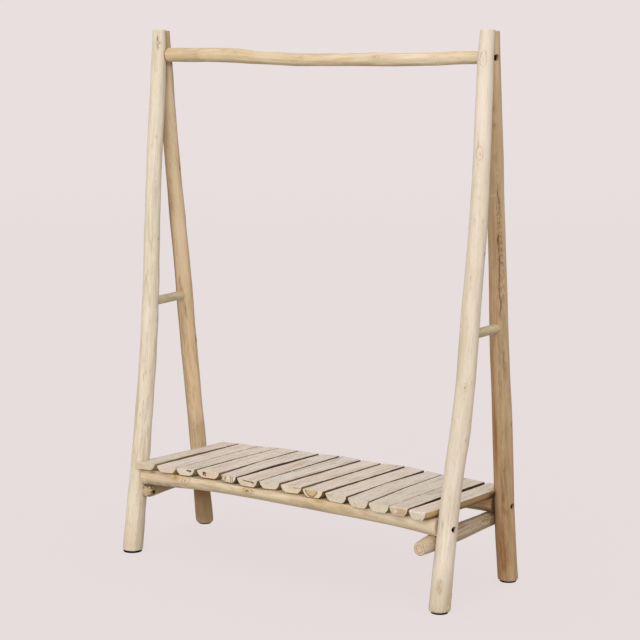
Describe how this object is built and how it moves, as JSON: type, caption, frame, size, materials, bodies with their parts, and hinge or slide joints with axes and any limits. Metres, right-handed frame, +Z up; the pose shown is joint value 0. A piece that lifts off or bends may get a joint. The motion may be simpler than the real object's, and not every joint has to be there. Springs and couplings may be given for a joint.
{
  "type": "coat rack bench",
  "caption": "Free-standing coat rack of natural round poles: A-shaped end frames, a hanging rail between their tops and a low slatted bench between their legs.",
  "frame": {"origin": "on the floor, under the middle of the rack's outer box", "axes": "+Z up, +X along the hanging rail to the rack's right, -Y towards the front, the side from which the picture was taken"},
  "size_m": [1.1716, 0.4555, 1.5101],
  "materials": {
    "pale_pole": "bare peeled and sanded pole, pale cream, fine long grain with small knots",
    "brown_pole": "bare peeled pole, tan to brown, darker streaks and knots",
    "honey_pole": "bare peeled pole, honey yellow, fine long grain",
    "grey_pole": "bare peeled pole, greyish tan",
    "sawn_slat": "bare sawn half-log, pinkish grey-beige with straight grain",
    "pad_rubber": "matt black",
    "zinc_steel": "zinc plated"
  },
  "bodies": {
    "root": {"left_front_leg": "pale_pole", "left_rear_leg": "brown_pole", "right_front_leg": "pale_pole", "right_rear_leg": "brown_pole", "top_rail": "honey_pole", "front_seat_rail": "honey_pole", "rear_seat_rail": "honey_pole", "left_rung": "grey_pole", "right_rung": "grey_pole", "left_bearer": "grey_pole", "right_bearer": "grey_pole", "slat_01": "sawn_slat", "slat_02": "sawn_slat", "slat_03": "sawn_slat", "slat_04": "sawn_slat", "slat_05": "sawn_slat", "slat_06": "sawn_slat", "slat_07": "sawn_slat", "slat_08": "sawn_slat", "slat_09": "sawn_slat", "slat_10": "sawn_slat", "slat_11": "sawn_slat", "slat_12": "sawn_slat", "slat_13": "sawn_slat", "slat_14": "sawn_slat", "left_front_foot_pad": "pad_rubber", "left_rear_foot_pad": "pad_rubber", "right_front_foot_pad": "pad_rubber", "right_rear_foot_pad": "pad_rubber", "seat_rail_bolts": "zinc_steel", "top_rail_bolts": "zinc_steel", "bolt_washers": "zinc_steel", "threaded_inserts": "zinc_steel", "bearer_screws": "zinc_steel", "apex_screws": "zinc_steel", "slat_screws": "zinc_steel", "foot_pad_nails": "zinc_steel"}
  },
  "joints": []
}
